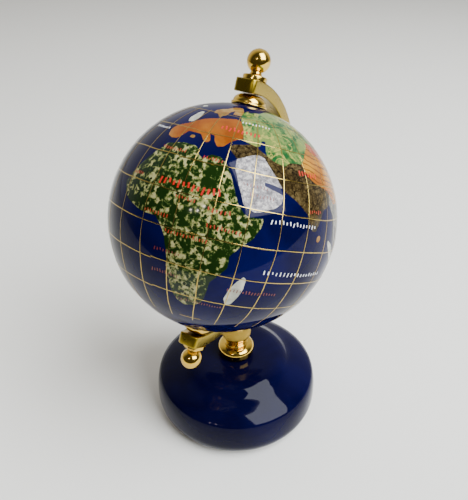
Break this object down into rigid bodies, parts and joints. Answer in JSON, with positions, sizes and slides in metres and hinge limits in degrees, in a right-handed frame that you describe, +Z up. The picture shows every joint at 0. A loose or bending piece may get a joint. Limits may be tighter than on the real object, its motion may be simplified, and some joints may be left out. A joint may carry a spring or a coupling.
{
  "type": "gemstone desk globe",
  "caption": "Tilted desk globe of blue resin inlaid with polished stone continents, turning in a brass C-shaped arm on a turned stem and round glossy base.",
  "frame": {"origin": "centre of the base's flat underside, on the stem's axis", "axes": "+Z up; the north pole leans towards +X, and the arm bows out on the +X side"},
  "size_m": [0.0882, 0.08, 0.1535],
  "materials": {
    "blue_base": "deep navy cast resin, high gloss",
    "ocean_blue": "cobalt blue cast resin, ground and polished with the stones",
    "brass": "polished and lacquered",
    "green_cream_stone": "mottled dark green and cream stone, polished",
    "orange_stone": "burnt orange stone, polished",
    "tan_stone": "pale tan stone, polished",
    "pearl_stone": "white mother-of-pearl or pale stone, polished",
    "jade_stone": "cloudy green stone, polished",
    "olive_stone": "olive-brown brecciated stone with dark veins, polished",
    "lilac_stone": "speckled lilac-grey stone, polished",
    "golden_stone": "golden orange stone with brown wavy bands, polished",
    "rose_stone": "rose-red stone, polished",
    "grey_stone": "pebble grey stone, polished"
  },
  "bodies": {
    "stand": {"base": "blue_base", "stem": "brass", "meridian_arm": "brass", "north_finial": "brass", "south_finial": "brass"},
    "globe": {"ocean_sphere": "ocean_blue", "north_polar_cap": "brass", "south_polar_cap": "brass", "stone_africa": "green_cream_stone", "stone_alaska": "tan_stone", "stone_andes": "olive_stone", "stone_antarctica": "pearl_stone", "stone_arabia": "lilac_stone", "stone_argentina": "grey_stone", "stone_australia": "rose_stone", "stone_borneo": "tan_stone", "stone_brazil": "jade_stone", "stone_britain": "pearl_stone", "stone_canada": "orange_stone", "stone_china": "golden_stone", "stone_cuba": "tan_stone", "stone_europe": "orange_stone", "stone_greenland": "pearl_stone", "stone_iceland": "pearl_stone", "stone_japan": "rose_stone", "stone_madagascar": "pearl_stone", "stone_mexico": "golden_stone", "stone_mongolia": "rose_stone", "stone_new_guinea": "green_cream_stone", "stone_new_zealand": "jade_stone", "stone_persia_and_india": "olive_stone", "stone_philippines": "jade_stone", "stone_russia": "jade_stone", "stone_sardinia": "tan_stone", "stone_scandinavia": "tan_stone", "stone_southeast_asia": "grey_stone", "stone_sri_lanka": "tan_stone", "stone_sumatra_and_java": "pearl_stone", "stone_united_states": "lilac_stone"}
  },
  "joints": [
    {"name": "globe_spin", "type": "hinge", "parent": "stand", "child": "globe", "pos_m": [-0.0092, 0, 0.09996], "axis": [0.4226, 0, 0.9063], "continuous": true}
  ]
}
